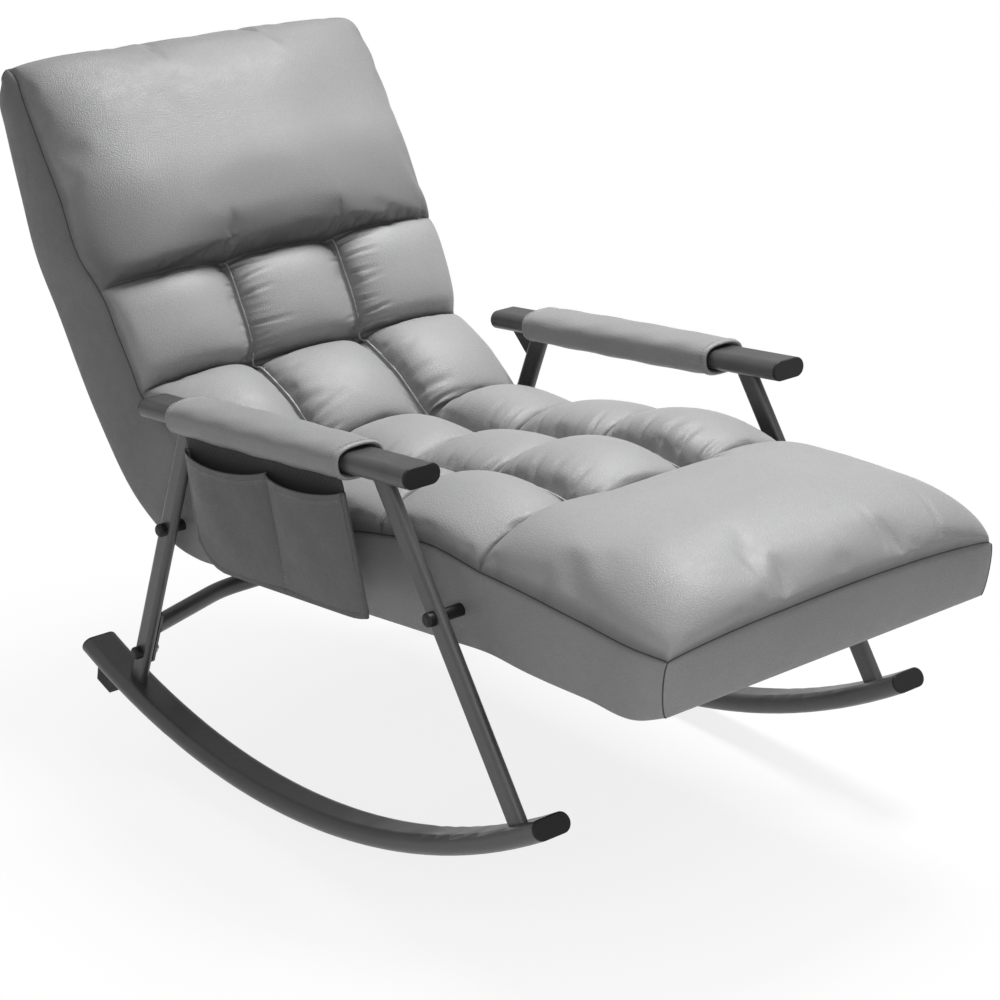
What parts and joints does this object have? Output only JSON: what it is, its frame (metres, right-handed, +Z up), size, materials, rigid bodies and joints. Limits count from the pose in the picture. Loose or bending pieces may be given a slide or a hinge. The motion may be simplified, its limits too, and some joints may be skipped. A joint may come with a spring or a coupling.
{
  "type": "reclining rocking chair",
  "caption": "Reclining rocking chair with a tufted chaise cushion, ratchet-hinged backrest and footrest, padded armrests, a side pocket and curved tube rockers.",
  "frame": {"origin": "floor level, under the middle of the chair's length and width, with the empty chair leaning back where it balances", "axes": "+Z up, -Y towards the foot end, +X towards the sitter's left"},
  "size_m": [0.684, 1.2992, 0.8881],
  "materials": {
    "frame_paint": "satin",
    "black_plastic": "matte",
    "stop_rubber": "matte",
    "bright_steel": "brushed",
    "grey_leather": "grained, satin",
    "dark_leather": "grained, satin",
    "base_cloth": "matte",
    "webbing": "woven"
  },
  "bodies": {
    "chair_frame": {"anti_tip_stops": "stop_rubber", "armrest_front_caps": "black_plastic", "armrest_rear_caps": "black_plastic", "armrest_sleeve_left": "grey_leather", "armrest_sleeve_right": "grey_leather", "armrest_tube_left": "frame_paint", "armrest_tube_right": "frame_paint", "back_hinge_pins": "bright_steel", "back_ratchet_left": "bright_steel", "back_ratchet_right": "bright_steel", "bolt_caps": "black_plastic", "cushion_seat": "grey_leather", "foot_hinge_pins": "bright_steel", "foot_ratchet_left": "bright_steel", "foot_ratchet_right": "bright_steel", "front_leg_left": "frame_paint", "front_leg_right": "frame_paint", "knee_fold": "grey_leather", "leg_gussets": "frame_paint", "lock_nuts": "bright_steel", "lumbar_fold": "grey_leather", "rear_leg_left": "frame_paint", "rear_leg_right": "frame_paint", "rear_stretcher": "frame_paint", "rocker_front_caps": "black_plastic", "rocker_left": "frame_paint", "rocker_rear_caps": "black_plastic", "rocker_right": "frame_paint", "seat_base_cloth": "base_cloth", "seat_bolts": "bright_steel", "seat_cross_front": "frame_paint", "seat_cross_rear": "frame_paint", "seat_rail_left": "frame_paint", "seat_rail_right": "frame_paint", "seat_spacers": "bright_steel", "seat_webbing": "webbing", "side_pocket": "dark_leather", "stretcher_bolts": "bright_steel", "stretcher_plates": "frame_paint"},
    "backrest": {"cushion_back": "grey_leather", "back_base_cloth": "base_cloth", "back_frame": "frame_paint", "back_cross_tube": "frame_paint", "back_rivets": "bright_steel", "back_webbing": "webbing", "back_hinge_cheeks_left": "bright_steel", "back_hinge_cheeks_right": "bright_steel", "back_pawls": "bright_steel", "back_pawl_pins": "bright_steel"},
    "footrest": {"cushion_foot": "grey_leather", "foot_base_cloth": "base_cloth", "foot_frame": "frame_paint", "foot_cross_tube": "frame_paint", "foot_rivets": "bright_steel", "foot_webbing": "webbing", "foot_hinge_cheeks_left": "bright_steel", "foot_hinge_cheeks_right": "bright_steel", "foot_pawls": "bright_steel", "foot_pawl_pins": "bright_steel"}
  },
  "joints": [
    {"name": "backrest_recline", "type": "hinge", "parent": "chair_frame", "child": "backrest", "pos_m": [0, 0.32845, 0.31984], "axis": [-1, 0, 0], "range_deg": [-12, 36], "deforming": ["lumbar_fold"]},
    {"name": "footrest_fold", "type": "hinge", "parent": "chair_frame", "child": "footrest", "pos_m": [0, -0.34227, 0.37498], "axis": [1, 0, 0], "range_deg": [0, 60], "deforming": ["knee_fold"]}
  ]
}
